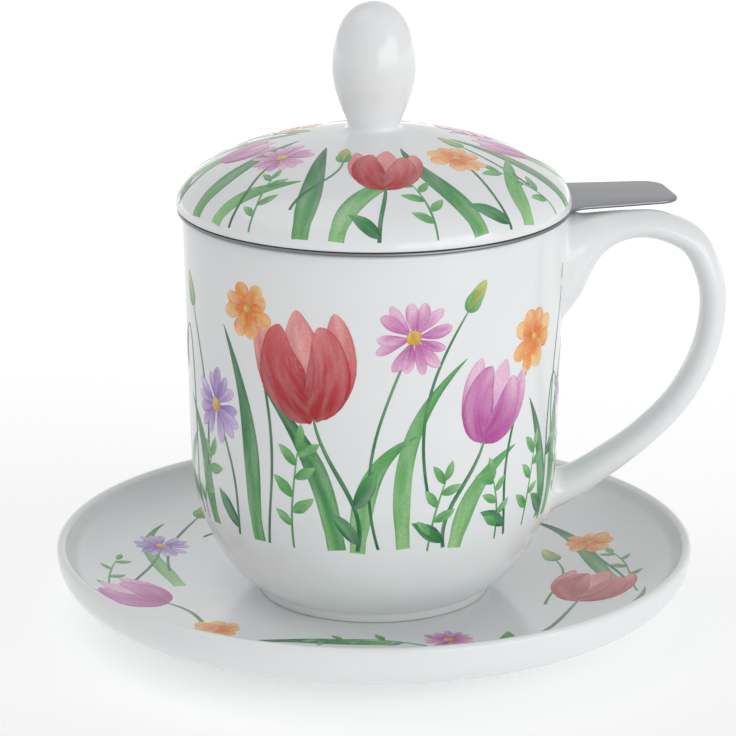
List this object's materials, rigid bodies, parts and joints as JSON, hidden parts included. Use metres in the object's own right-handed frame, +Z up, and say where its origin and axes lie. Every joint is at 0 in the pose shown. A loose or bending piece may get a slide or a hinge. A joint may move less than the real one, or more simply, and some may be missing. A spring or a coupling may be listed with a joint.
{
  "type": "lidded tea mug with infuser and saucer",
  "caption": "Porcelain tea mug with ear handle, domed lid with an egg-shaped knob, lift-out steel infuser with a thumb tab, and a saucer.",
  "frame": {"origin": "centre of the saucer's foot ring, on the surface it stands on; the axis of the saucer, mug, infuser and lid", "axes": "+Z up along the common axis, +X towards the mug's handle, +Y away from a viewer who sees the handle on the right"},
  "size_m": [0.1569, 0.15, 0.1461],
  "materials": {
    "porcelain": "glossy clear glaze",
    "stainless_steel": "satin"
  },
  "bodies": {
    "saucer": {"saucer": "porcelain"},
    "mug": {"mug_body": "porcelain", "mug_handle": "porcelain"},
    "infuser": {"infuser_rim": "stainless_steel", "infuser_wall": "stainless_steel", "infuser_hem_ring": "stainless_steel", "infuser_screen": "stainless_steel"},
    "lid": {"lid_body": "porcelain", "lid_knob": "porcelain"}
  },
  "joints": [
    {"name": "mug_lift", "type": "slide", "parent": "saucer", "child": "mug", "axis": [0, 0, 1], "range_m": [0, 0.05]},
    {"name": "infuser_lift", "type": "slide", "parent": "mug", "child": "infuser", "axis": [0, 0, 1], "range_m": [0, 0.085]},
    {"name": "lid_lift", "type": "slide", "parent": "infuser", "child": "lid", "axis": [0, 0, 1], "range_m": [0, 0.05]}
  ]
}
